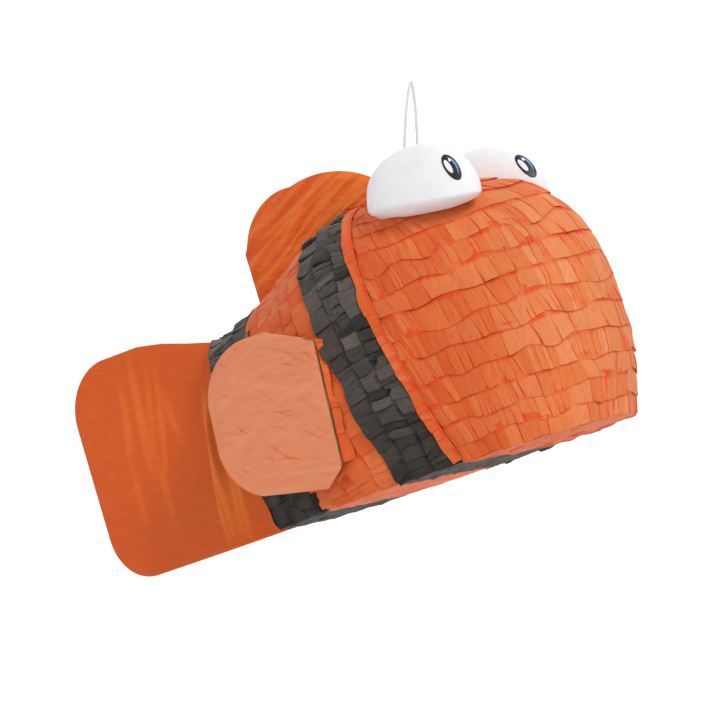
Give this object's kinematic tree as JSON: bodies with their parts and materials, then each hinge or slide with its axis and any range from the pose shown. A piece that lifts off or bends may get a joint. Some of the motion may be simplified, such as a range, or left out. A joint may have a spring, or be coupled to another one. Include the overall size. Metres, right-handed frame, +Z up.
{
  "type": "fish-shaped hanging pinata",
  "caption": "Fish-shaped paper pinata: card body and moulded head in pleated crepe rows, flat fins, domed eyes and a string loop; it swings, its side fins fold and a filling flap opens.",
  "frame": {"origin": "the point of the string loop that bears on the hook", "axes": "+Z up along the hanging line, +X towards the fish's nose, +Y to the fish's left; stored as it hangs, nose up"},
  "size_m": [0.571, 0.174, 0.4382],
  "materials": {
    "card": "matte",
    "moulded_paper": "matte",
    "orange_crepe": "matte",
    "dark_crepe": "matte",
    "orange_tissue": "matte",
    "white_paper": "matte",
    "printed_paper": "satin",
    "string": "matte",
    "rod_wood": "matte"
  },
  "bodies": {
    "loop": {"hang_loop": "string"},
    "fish": {"base_panel": "card", "right_side_panel": "card", "left_side_panel": "card", "back_panel": "card", "rear_end_panel": "card", "face_panel": "moulded_paper", "crown_panel": "moulded_paper", "crown_patch": "card", "anchor_rod": "rod_wood", "string_ties": "string", "rear_band_crepe": "dark_crepe", "middle_crepe": "orange_crepe", "front_band_crepe": "dark_crepe", "band_edge_strip": "orange_crepe", "cheek_crepe": "orange_crepe", "crown_crepe": "orange_crepe", "head_base_crepe": "orange_crepe", "dorsal_board": "card", "dorsal_tissue_right": "orange_tissue", "dorsal_tissue_left": "orange_tissue", "tail_board": "card", "tail_tissue_right": "orange_tissue", "tail_tissue_left": "orange_tissue", "tail_tabs": "orange_tissue", "right_eye_dome": "white_paper", "left_eye_dome": "white_paper", "right_eye_decal": "printed_paper", "left_eye_decal": "printed_paper", "right_fin_tab": "orange_tissue", "left_fin_tab": "orange_tissue"},
    "right_fin": {"right_fin_board": "card", "right_fin_outer_tissue": "orange_tissue", "right_fin_inner_tissue": "orange_tissue"},
    "left_fin": {"left_fin_board": "card", "left_fin_outer_tissue": "orange_tissue", "left_fin_inner_tissue": "orange_tissue"},
    "flap": {"filling_flap": "moulded_paper", "filling_flap_crepe": "orange_crepe"}
  },
  "joints": [
    {"name": "swing", "type": "hinge", "parent": "loop", "child": "fish", "pos_m": [0, 0, -0.091], "axis": [0, 1, 0], "range_deg": [-30, 30]},
    {"name": "right_fin_fold", "type": "hinge", "parent": "fish", "child": "right_fin", "pos_m": [-0.00803, -0.086, -0.30368], "axis": [-0.2752, 0, 0.9614], "range_deg": [0, 45]},
    {"name": "left_fin_fold", "type": "hinge", "parent": "fish", "child": "left_fin", "pos_m": [-0.00803, 0.086, -0.30368], "axis": [0.2752, 0, -0.9614], "range_deg": [0, 45]},
    {"name": "flap_open", "type": "hinge", "parent": "fish", "child": "flap", "pos_m": [0.06745, 0.0744, -0.17147], "axis": [0.9209, -0.1829, 0.3443], "range_deg": [0, 100]}
  ]
}
